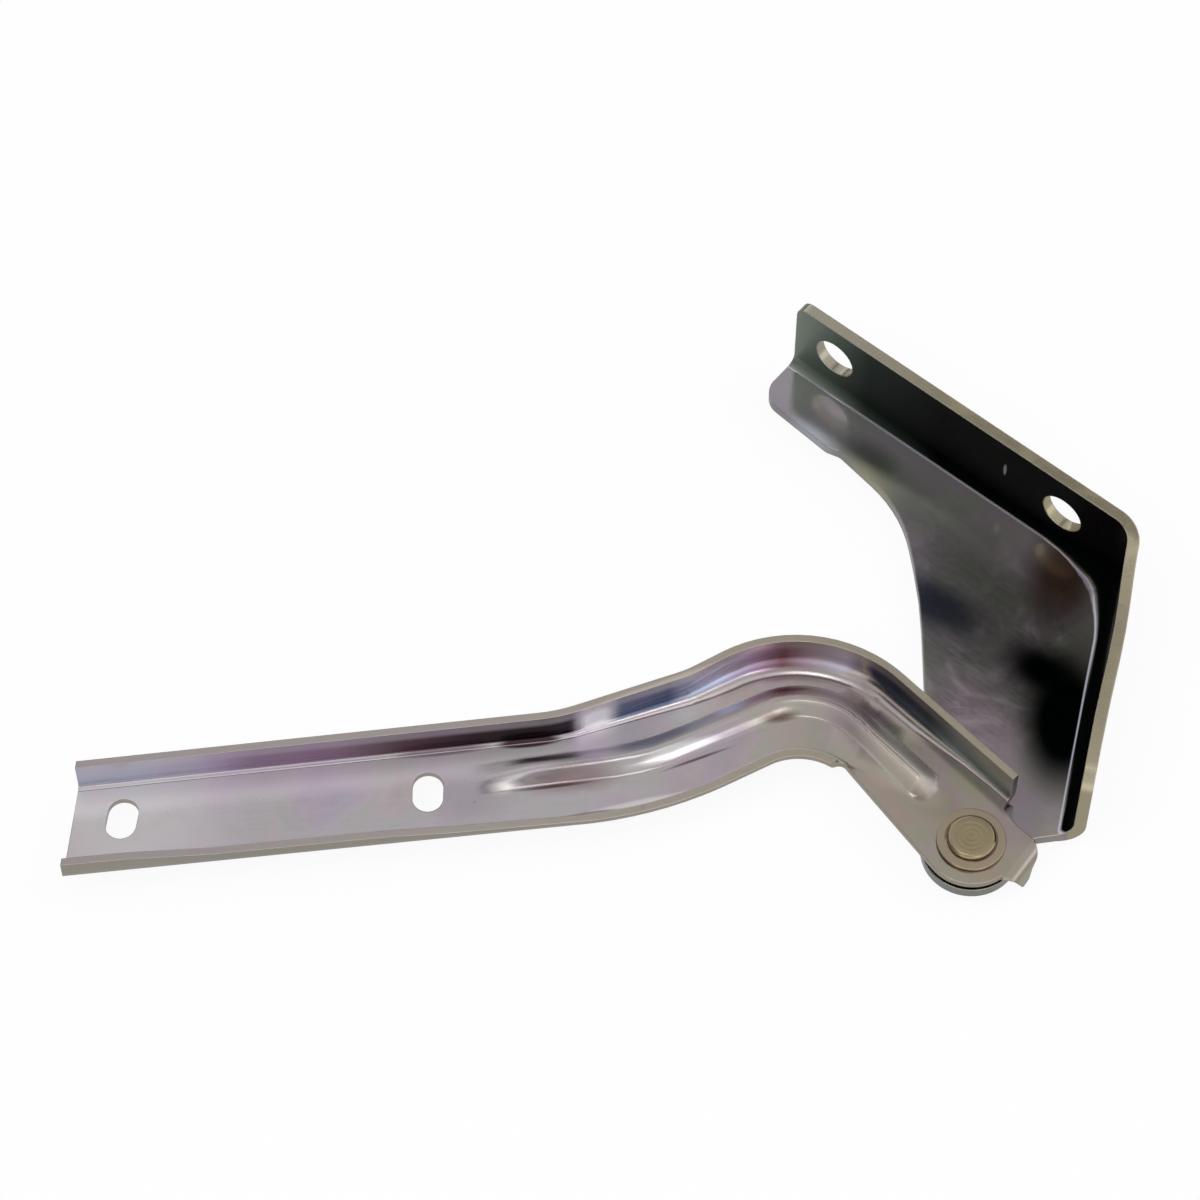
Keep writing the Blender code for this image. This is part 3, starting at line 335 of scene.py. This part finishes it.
armLook = {
    "cloudSize": 27.0, "film": [(0.0, (0.47, 0.53, 0.70)), (0.25, (0.62, 0.50, 0.68)), (0.45, (0.66, 0.60, 0.66)),
                                (0.6, (0.57, 0.62, 0.55)), (0.8, (0.72, 0.58, 0.58)), (1.0, (0.62, 0.56, 0.48))],
    "toneLeft": (0.68, 0.61, 0.67), "tone": (0.44, 0.36, 0.23), "toneSpan": (-130.0, 10.0), "toneAmount": 0.62,
    "grainTurn": 7.0, "waveSize": 34.0, "waveHeight": 0.07,
    "satinAmount": 0.35, "rimFrom": 2.8, "rimAmount": 0.85, "rimSpan": (-200.0, -20.0),
    "rimLeft": (0.55, 0.49, 0.46), "rimTone": (0.55, 0.49, 0.37),
    "edgeRound": 0.45, "edgeHighlightAmount": 0.55, "edgeHighlightTone": (0.80, 0.76, 0.76),
    "grainAmount": 0.08, "grainTone": (0.50, 0.47, 0.48), "smudgeAmount": 0.10, "smudgeTone": (0.50, 0.46, 0.40),
    "pitTone": (0.12, 0.09, 0.06), "roughness": 0.185, "grainDepth": 0.0007, "peelDepth": 0.0006,
    "foldPaintedShade": (0.20, 0.12, 0.15), "foldPaintedHighlight": (0.92, 0.90, 0.98), "lowFlange": (0.46, 0.42, 0.32),
    "slots": ((-240.3, 7.1, -1.1), (-153.8, 15.8, -1.1)), "glintSpot": ((-105.5, 37, 4), 12, (6.5, 6, 7), 0.4, 2.2),
    # lines just inside the long flange along strap, neck and nose, as x, y and slope, and its highest y
    "footLines": ((-251.8, 13.5, 0.118), (-116.0, 30.6, 0.41), (-20.0, 44.2, -1.05)), "footCrest": 53.5,
    # painted highlights and glints, and painted shade at the bead's foot and in the folds, with a few tone stains:
    # centre, turn, half sizes, colour, amount, and the share that is full
    "paintedLightAndStains": [
        ((-238, 3, 1), 7, (38, 26, 6), (0.90, 0.86, 0.88), 0.6),
        ((-113, 20, 1), 8, (20, 6, 6), (0.36, 0.26, 0.27), 0.8),
        ((-82, 29, 2), 20, (15, 2.3, 6), (1.0, 1.0, 1.0), 0.9),
        ((-67, 43, 2), 27, (8, 2.4, 6), (0.80, 0.86, 1.0), 0.8),
        ((-11, 18, 2), -50, (4.5, 2.4, 6), (0.95, 0.93, 0.88), 0.8),
        ((-20, 31, 2), -55, (18, 2.4, 6), (0.96, 0.94, 1.0), 0.75),
        ((-14, 15, 2), -50, (3.4, 2.6, 6), (0.06, 0.03, 0.02), 0.95, 0.4),
        ((-133, 16.5, 1), 8, (5, 2.6, 6), (0.92, 0.86, 0.80), 0.8),
        ((-118, 17.6, 1), 8, (15, 0.8, 6), (0.10, 0.04, 0.05), 0.85),
        ((-120, 26, 1), 6, (13, 1.3, 6), (0.16, 0.08, 0.07), 0.75),
        ((-77, 26.6, 1), 22, (14, 0.7, 6), (0.10, 0.05, 0.06), 0.8),
        ((-53, 40, 2), 12, (8, 2.0, 6), (0.12, 0.06, 0.04), 0.8),
        ((-51, 49, 2), 5, (9, 1.5, 6), (0.20, 0.11, 0.10), 0.7),
        ((-52, 55, 1), 5, (13, 3, 4), (0.46, 0.34, 0.30), 0.5),
        ((-9, 12, 1), -50, (11, 7, 5), (0.38, 0.34, 0.22), 0.4),
        ((-92.7, 9.2, 1), 0, (1.3, 1.1, 5), (0.02, 0.02, 0.02), 1.0),
        ((-19, 24, 2), -50, (22, 8, 6), (0.95, 0.86, 0.74), 0.6),
        ((-142, 14, 1), 8, (16, 12, 6), (0.52, 0.45, 0.52), 0.6),
        ((-100, 32.5, 0.5), 22, (24, 6, 4), (0.36, 0.30, 0.38), 0.55),
        ((-96, 11.8, 0.5), 14, (22, 1.3, 4), (1.0, 0.98, 0.96), 0.7),
        ((-107, 8.9, 0.5), 9, (11, 0.9, 4), (0.14, 0.09, 0.07), 0.7),
        ((-125, 31.9, 0.5), 7, (11, 1.9, 3), (0.06, 0.02, 0.03), 0.95, 0.6),
        ((-150, 28.9, 0.5), 7, (17, 1.7, 3), (0.22, 0.15, 0.18), 0.7, 0.5),
    ],
    # the painted reflection on the inner side of the long flange, from its free end to the pivot: x in mm, colour
    "flangeReflectionStops": [(-252, (0.56, 0.62, 0.74)), (-218, (0.54, 0.50, 0.64)), (-204, (0.36, 0.27, 0.38)),
                   (-181, (0.32, 0.22, 0.30)), (-161, (0.12, 0.06, 0.08)), (-139, (0.02, 0.005, 0.01)),
                   (-113, (0.01, 0.005, 0.01)), (-109, (0.96, 0.96, 1.0)), (-103, (0.96, 0.96, 1.0)),
                   (-99, (0.14, 0.18, 0.30)), (-85, (0.10, 0.13, 0.25)), (-78, (0.48, 0.54, 0.76)),
                   (-71, (0.60, 0.60, 0.80)), (-60, (0.44, 0.31, 0.44)), (-52, (0.22, 0.10, 0.12)),
                   (-45, (0.42, 0.32, 0.38)), (-34, (0.64, 0.60, 0.72)), (-26, (0.06, 0.07, 0.12)),
                   (-10, (0.11, 0.13, 0.16)), (-3, (0.46, 0.55, 0.56)), (10, (0.58, 0.64, 0.60))],
}


def flangeFoot(finish):
    # how far, in mm, a place lies past a line just inside the long flange
    x, y = finish.axes()[:2]
    strap, neck, nose = ((x - startX) * slope + startY for startX, startY, slope in armLook["footLines"])
    return y - strap.greater(neck).lesser(armLook["footCrest"]).lesser(nose)


def webSatin(finish):
    # the web beside the flange is duller than the rest
    gap = flangeFoot(finish)
    flat = finish.facing()[2].rise(0.90, 0.97)
    return gap.rise(-9.0, -3.0) * gap.rise(4.0, 3.0) * flat * finish.axes()[0].rise(-60.0, -80.0)


def armSatin(finish):
    # the web beside the flange, and more so the flange's painted white glint, which shows brighter where it is less
    # metallic
    centre, turn, halves, inner, amount = armLook["glintSpot"]
    return webSatin(finish).greater(finish.oval(centre, turn, halves, inner) * amount)


def armDull(finish):
    # the web and the drawn side of the bead are too dull to mirror the flange beside them
    x, y, z = finish.axes()
    nx, ny, nz = finish.facing()
    above = flangeFoot(finish)
    bead = above.rise(-1.0, -3.0) * z.rise(0.1, 0.4) * nz.rise(0.3, 0.5)
    farSide = bead * ny.rise(0.08, 0.25) * x.rise(-50.0, -65.0)
    noseLeg = bead * nz.rise(0.99, 0.95) * x.rise(-64.0, -28.0)
    noseFlange = above.rise(0.0, 1.5) * ny.rise(-0.25, -0.55) * x.rise(-60.0, -40.0)
    return (webSatin(finish) * 0.18).greater(farSide * 0.30).greater(noseLeg * 0.30).greater(noseFlange * 0.16)


def flangePaint(finish, base):
    # painted reflection on the inner side of the long flange: near black, a white glint and navy bands along its run,
    # fading towards its rim
    x, y, z = finish.axes()
    ny = finish.facing()[1]
    above = flangeFoot(finish)
    inner = above.rise(0.0, 1.5) * ny.rise(-0.25, -0.55) * z.rise(0.3, 1.2)
    body = inner * (1.0 - z.rise(6.2, 8.6) * 0.45)
    low, high = armLook["flangeReflectionStops"][0][0], armLook["flangeReflectionStops"][-1][0]
    stops = [((k - low) / (high - low), color) for k, color in armLook["flangeReflectionStops"]]
    # the painted reflection, as a ramp along the flange
    film = finish.ramp((x - low) / (high - low), stops)
    base = finish.mix(body, base, film)
    outer = above.rise(-9.0, -11.0) * ny.rise(-0.5, -0.8)
    base = finish.mix(outer * 0.75, base, armLook["lowFlange"])
    # the fold: a thin line of painted shade along its foot and a painted highlight where it turns up
    fold = above.rise(-4.0, -2.5) * z.rise(3.4, 2.4)
    base = finish.mix(fold * ny.band(-0.10, 0.06, 0.03) * 0.85, base, armLook["foldPaintedShade"])
    return finish.mix(fold * ny.band(-0.27, 0.07, 0.04) * 0.35, base, armLook["foldPaintedHighlight"])


def slotWalls(finish):
    return finish.nearAny(armLook["slots"], 9.0, 1.0) * abs(finish.facing()[2]).rise(0.5, 0.3)


def eyeWalls(finish):
    sideways = abs(finish.facing()[2]).rise(0.5, 0.3)
    return finish.around().rise(20.0, 17.0) * sideways * finish.axes()[2].rise(1.0, 0.2)


armZinc = plate("armZinc", armLook, [slotWalls, eyeWalls], [flangePaint], armSatin, dull=armDull)
finishedCopy("bonnet_arm", armZinc, "arm")
print("arm finished")


# bracket

bracketLook = {
    "cloudSize": 30.0, "film": [(0.0, (0.30, 0.35, 0.42)), (0.25, (0.42, 0.33, 0.42)), (0.5, (0.38, 0.35, 0.34)),
                                (0.75, (0.33, 0.37, 0.28)), (1.0, (0.42, 0.33, 0.26))],
    "toneLeft": (0.40, 0.41, 0.43), "tone": (0.34, 0.32, 0.29), "toneSpan": (-40.0, 30.0), "toneAmount": 0.45,
    "grainTurn": -39.0, "waveSize": 40.0, "waveHeight": 0.07,
    "satinAmount": 0.30, "rimFrom": 10.0, "rimAmount": 0.9, "rimSpan": (-40.0, 10.0),
    "rimLeft": (0.58, 0.54, 0.42), "rimTone": (0.60, 0.53, 0.36),
    "edgeRound": 0.55, "edgeHighlightAmount": 0.65, "edgeHighlightTone": (0.74, 0.68, 0.70),
    "grainAmount": 0.06, "grainTone": (0.34, 0.32, 0.30), "smudgeAmount": 0.12,
    "smudgeTone": (0.34, 0.30, 0.24), "pitTone": (0.10, 0.08, 0.05), "roughness": 0.145,
    "grainDepth": 0.0002, "peelDepth": 0.0001,
    "holes": ((-33.7, 159.0, 10.9), (31.5, 104.9, 9.5)),
    "topWay": (0.635, 0.773), "sideWay": (0.995, -0.096),  # towards the top and the side flange
    # painted reflections on the web, near black blots and lilac, olive and rose patches, in soft ovals: centre, turn,
    # half sizes, colour, amount, and the share that is full
    "paintedLightAndStains": [
        ((31, 90, -11), 80, (26, 16, 20), (0.085, 0.045, 0.03), 0.95, 0.4),
        ((-8, 81, -11), -32, (28, 12, 20), (0.045, 0.06, 0.09), 0.9, 0.4),
        ((-24, 131, -11), -38, (16, 9, 20), (0.10, 0.11, 0.08), 0.7, 0.3),
        ((4, 42, -11), -58, (32, 15, 20), (0.70, 0.56, 0.64), 0.9, 0.3),
        ((-27, 124, -11), -38, (17, 8, 20), (0.60, 0.58, 0.36), 0.8),
        ((-43, 138, -11), -38, (14, 10, 20), (0.66, 0.72, 0.80), 0.9),
        ((24, 4, -11), 80, (15, 8, 20), (0.50, 0.46, 0.40), 0.8),
        ((29, 41, -11), 82, (33, 18, 20), (0.0, 0.003, 0.002), 1.0, 0.5),
        ((23, 58, -11), -40, (19, 13, 20), (0.0, 0.003, 0.002), 1.0, 0.4),
    ],
    "foldPaintedHighlight": (0.80, 0.76, 0.92),
    # the painted reflection on the inner side of the tall flange, from its free end: share of the span in mm, colour
    "flangeSpan": (-52.0, 8.0), "flangeReflectionStops": [(0.0, (0.40, 0.46, 0.39)), (0.2, (0.24, 0.29, 0.24)),
                                               (0.45, (0.04, 0.055, 0.045)), (0.8, (0.002, 0.003, 0.003))],
    "flangeScratch": ((14.5, 117.5, 12.5), -39.4, (0.7, 4.0, 3.4), (0.62, 0.68, 0.70), 0.8, 0.6),
}


def flangeTilt(finish):
    # how far a face of the tall flange or its fold leans inwards
    top, topFacing = finish.across(bracketLook["topWay"])
    side = finish.across(bracketLook["sideWay"])[0].rise(22.0, 24.5) * finish.axes()[1].rise(3.0, 6.0)
    return (topFacing * top.rise(88.0, 91.0)).lesser(finish.facing()[0] * side)


def flangeShade(finish, base):
    # painted reflection on the tall flange: near black, turning grey green at its free end
    tilt = flangeTilt(finish)
    # a thin painted highlight along the foot of the fold
    line = tilt.band(-0.11, 0.06, 0.03) * finish.facing()[2].rise(0.5, 0.8)
    low, high = bracketLook["flangeSpan"]
    shade = finish.ramp((finish.axes()[0] - low) / (high - low), bracketLook["flangeReflectionStops"])
    base = finish.mix(line * 0.75, base, bracketLook["foldPaintedHighlight"])
    base = finish.mix(tilt.rise(-0.19, -0.32), base, shade)
    centre, turn, halves, color, amount, inner = bracketLook["flangeScratch"]
    return finish.mix(finish.oval(centre, turn, halves, inner) * amount, base, color)


def flangeDull(finish):
    # and it is too dull to show sharp reflections
    return flangeTilt(finish).rise(-0.14, -0.24) * 0.30


def foldSatin(finish):
    # the web below the top fold keeps a duller film than the rest
    top = finish.across(bracketLook["topWay"])[0]
    return top.rise(74.0, 96.0) * top.rise(99.0, 96.0) * finish.facing()[2].rise(0.90, 0.97)


def flangeHoleWalls(finish):
    # faces that don't look out of the flange
    off = abs(finish.across(bracketLook["topWay"])[1]).rise(0.6, 0.4)
    return finish.nearAny(bracketLook["holes"], 8.2, 0.4) * off


def lowRim(finish):
    # the rim of the side flange goes on round its low rounded corner
    side = finish.across(bracketLook["sideWay"])[0]
    return finish.axes()[1].rise(34.0, 30.0) * side.rise(26.5, 28.0) * finish.facing()[1].rise(-0.15, -0.35)


bracketZinc = plate("bracketZinc", bracketLook, [flangeHoleWalls, lowRim], [flangeShade], foldSatin,
                    dull=flangeDull)
finishedCopy("body_bracket", bracketZinc, "bracket")
print("bracket finished")


# rivet, washer and bush

pivotLook = {
    "cloudSize": 9.0, "film": [(0.0, (0.42, 0.38, 0.22)), (0.5, (0.48, 0.39, 0.24)), (1.0, (0.50, 0.40, 0.29))],
    "toneLeft": (0.46, 0.37, 0.24), "tone": (0.46, 0.37, 0.24), "toneSpan": (-5.0, 5.0), "toneAmount": 0.4,
    "grainTurn": 0.0, "waveSize": 9.0, "waveHeight": 0.02,
    "rimFrom": 40.0, "rimAmount": 0.0, "rimLeft": (0.6, 0.5, 0.4), "rimTone": (0.6, 0.5, 0.4), "rimSpan": (-5.0, 5.0),
    "edgeRound": 0.3, "edgeHighlightAmount": 0.5, "edgeHighlightTone": (0.66, 0.58, 0.42), "grainAmount": 0.05,
    "grainTone": (0.45, 0.38, 0.24), "smudgeAmount": 0.10, "smudgeTone": (0.40, 0.34, 0.24),
    "pitTone": (0.14, 0.10, 0.06), "roughness": 0.24, "grainDepth": 0.0007, "peelDepth": 0.0006,
    "ringTurns": 4.2, "ringDepth": 0.006, "headShadeTone": (0.06, 0.04, 0.03),
}
washerLook = dict(pivotLook, film=[(0.0, (0.48, 0.40, 0.28)), (0.5, (0.52, 0.42, 0.31)), (1.0, (0.54, 0.44, 0.35))],
                  toneLeft=(0.50, 0.41, 0.29), tone=(0.50, 0.41, 0.29))
bushLook = dict(pivotLook, film=[(0.0, (0.44, 0.30, 0.15)), (1.0, (0.52, 0.37, 0.20))],
                toneLeft=(0.50, 0.36, 0.20), tone=(0.50, 0.36, 0.20), roughness=0.38)


def turnedRings(finish):
    # faint rings that the forming tool leaves on the head
    out = finish.around()
    rings = (out * pivotLook["ringTurns"]).maths('SINE') * pivotLook["ringDepth"]
    return rings * abs(finish.facing()[2]).rise(0.90, 0.98) * out.rise(7.4, 6.6)


def headShadow(finish, base):
    # painted shade under the edge of the rivet's head, in broken arcs
    arcs = finish.noise(6.0, 1.0).rise(0.44, 0.56)
    return finish.mix(finish.around().band(7.3, 0.3, 0.15) * arcs * 0.6, base, pivotLook["headShadeTone"])


finishedCopy("pivot_rivet", plate("rivetZinc", pivotLook, relief=turnedRings), "bracket")
finishedCopy("head_washer", plate("washerZinc", washerLook, paints=[headShadow]), "bracket")
finishedCopy("pivot_bush", plate("bushBronze", bushLook), "arm")
print("pivot finished")


# studio

studio = {
    "floorColor": (0.80, 0.80, 0.80), "floorWhite": 0.93, "floorTone": 0.50, "worldDiffuse": 0.5,
    # name: centre and aim in mm from the pivot, width, height, tone, share of the size that fades out
    "cards": {
        "ceilingPanel": ((-60, 100, 640), (-60, 100, 0), 2600, 2400, 0.60, 0.05),
        "overheadStrip": ((-60, 50, 625), (-60, 50, 0), 110, 170, 2.6, 0.25),
        "overheadLong": ((-230, 90, 624), (-230, 90, 0), 200, 110, 0.45, 0.30),
        "darkLine": ((-215, 235, 622), (-215, 235, 0), 320, 70, 0.05, 0.30),
        "backDark": ((105, 510, 620), (105, 510, 0), 170, 280, 0.08, 0.08),
        "leftDark": ((-500, -30, 620), (-500, -30, 0), 330, 300, 0.0, 0.12),
        "frontDark": ((-120, -310, 621), (-120, -310, 0), 150, 140, 0.08, 0.25),
        "frontBlack": ((-85, -140, 621), (-85, -140, 0), 70, 100, 0.05, 0.25),
        "frontBright": ((-290, -340, 622), (-290, -340, 0), 160, 200, 1.0, 0.25),
        "frontRight": ((240, -370, 622), (240, -370, 0), 260, 150, 3.2, 0.25),
        "frontSpot": ((130, -236, 620), (130, -236, 0), 60, 70, 1.5, 0.30),
        "leftWall": ((-900, 200, 330), (0, 200, 330), 2200, 620, 0.02, 0.10),
        "backWall": ((-100, 1250, 190), (-100, 0, 190), 2400, 380, 0.04, 0.20),
    },
    # name: place and aim in mm from the pivot, size, watts; they light the floor, and the cards light the metal
    "lamps": {
        "keyLamp": ((-500, -300, 1200), (-60, 60, 0), 900, 9.0),
        "fillLamp": ((700, 200, 900), (-60, 60, 0), 900, 5.0),
    },
}


def aimed(thing, place, aim):
    thing.location = at(*place)
    thing.rotation_euler = (at(*aim) - at(*place)).to_track_quat('-Z', 'Y').to_euler()


def studioCard(name, place, aim, width, height, tone, soft):
    bm = bmesh.new()
    bmesh.ops.create_grid(bm, x_segments=1, y_segments=1, size=0.5)
    bmesh.ops.scale(bm, verts=bm.verts, vec=(width / 1000.0, height / 1000.0, 1.0))
    mesh = bpy.data.meshes.new(name)
    bm.to_mesh(mesh)
    bm.free()
    card = bpy.data.objects.new(name, mesh)
    bpy.context.scene.collection.objects.link(card)
    aimed(card, place, aim)
    finish = Finish(name)
    spot = finish.node('ShaderNodeSeparateXYZ', {}, [finish.node('ShaderNodeTexCoord').other('Object')])
    halfWidth, halfHeight = width / 2000.0, height / 2000.0
    fade = soft * min(width, height) / 1000.0
    inside = (abs(spot).rise(halfWidth, halfWidth - fade) * abs(spot.other('Y')).rise(halfHeight, halfHeight - fade))
    glow = finish.node('ShaderNodeEmission', {}, {'Color': (tone, tone, tone, 1.0), 'Strength': 1.0})
    clear = finish.node('ShaderNodeBsdfTransparent')
    mesh.materials.append(finish.done(finish.node('ShaderNodeMixShader', {}, [inside, clear, glow])))
    card.visible_camera = False
    card.visible_diffuse = False
    card.visible_shadow = False


for name, values in studio["cards"].items():
    studioCard(name, *values)

for name, (place, aim, size, watts) in studio["lamps"].items():
    lamp = bpy.data.lights.new(name, 'AREA')
    lamp.size = size / 1000.0
    lamp.energy = watts
    lampObject = bpy.data.objects.new(name, lamp)
    bpy.context.scene.collection.objects.link(lampObject)
    aimed(lampObject, place, aim)
    lampObject.visible_camera = False
    lampObject.visible_glossy = False

floorMesh = bmesh.new()
bmesh.ops.create_grid(floorMesh, x_segments=1, y_segments=1, size=4.0)
mesh = bpy.data.meshes.new("floor")
floorMesh.to_mesh(mesh)
floorMesh.free()
floor = bpy.data.objects.new("floor", mesh)
bpy.context.scene.collection.objects.link(floor)
floor.location.z = -0.0004
finish = Finish("floorPale")
rays = finish.node('ShaderNodeLightPath')
seen = rays.greater(rays.other('Is Transmission Ray')) * studio["floorWhite"]
cloth = finish.node('ShaderNodeBsdfDiffuse', {}, {'Color': (*studio["floorColor"], 1.0)})
white = finish.node('ShaderNodeEmission', {}, {'Color': (1.0, 1.0, 1.0, 1.0), 'Strength': 1.0})
grey = finish.node('ShaderNodeEmission', {}, {'Color': (*(studio["floorTone"],) * 3, 1.0), 'Strength': 1.0})
pale = finish.node('ShaderNodeMixShader', {}, [seen, cloth, white])
mesh.materials.append(finish.done(finish.node('ShaderNodeMixShader', {}, [rays.other('Is Glossy Ray'), pale, grey])))

world = bpy.data.worlds.new("studioWorld")
bpy.context.scene.world = world
finish = Finish("studioWorld", world)
rays = finish.node('ShaderNodeLightPath')
seen = rays.greater(rays.other('Is Glossy Ray')).greater(rays.other('Is Transmission Ray'))
strength = studio["worldDiffuse"] + seen * (1.0 - studio["worldDiffuse"])
sky = finish.node('ShaderNodeBackground', {}, {'Color': (1.0, 1.0, 1.0, 1.0), 'Strength': strength})
finish.node('ShaderNodeOutputWorld', {}, {'Surface': sky})
bpy.context.scene.view_settings.view_transform = 'Standard'
print("studio set")


# camera

cameraLook = {"place": (-104.84, -606.2, 1119.5), "aim": (-104.84, 79.80, 0.0), "lens": 135.0, "sensor": 36.0}
cameraData = bpy.data.cameras.new("viewCamera")
cameraData.lens = cameraLook["lens"]
cameraData.sensor_width = cameraLook["sensor"]
cameraData.clip_start, cameraData.clip_end = 0.01, 20.0
camera = bpy.data.objects.new("viewCamera", cameraData)
bpy.context.scene.collection.objects.link(camera)
aimed(camera, cameraLook["place"], cameraLook["aim"])
bpy.context.scene.camera = camera
print("camera set")
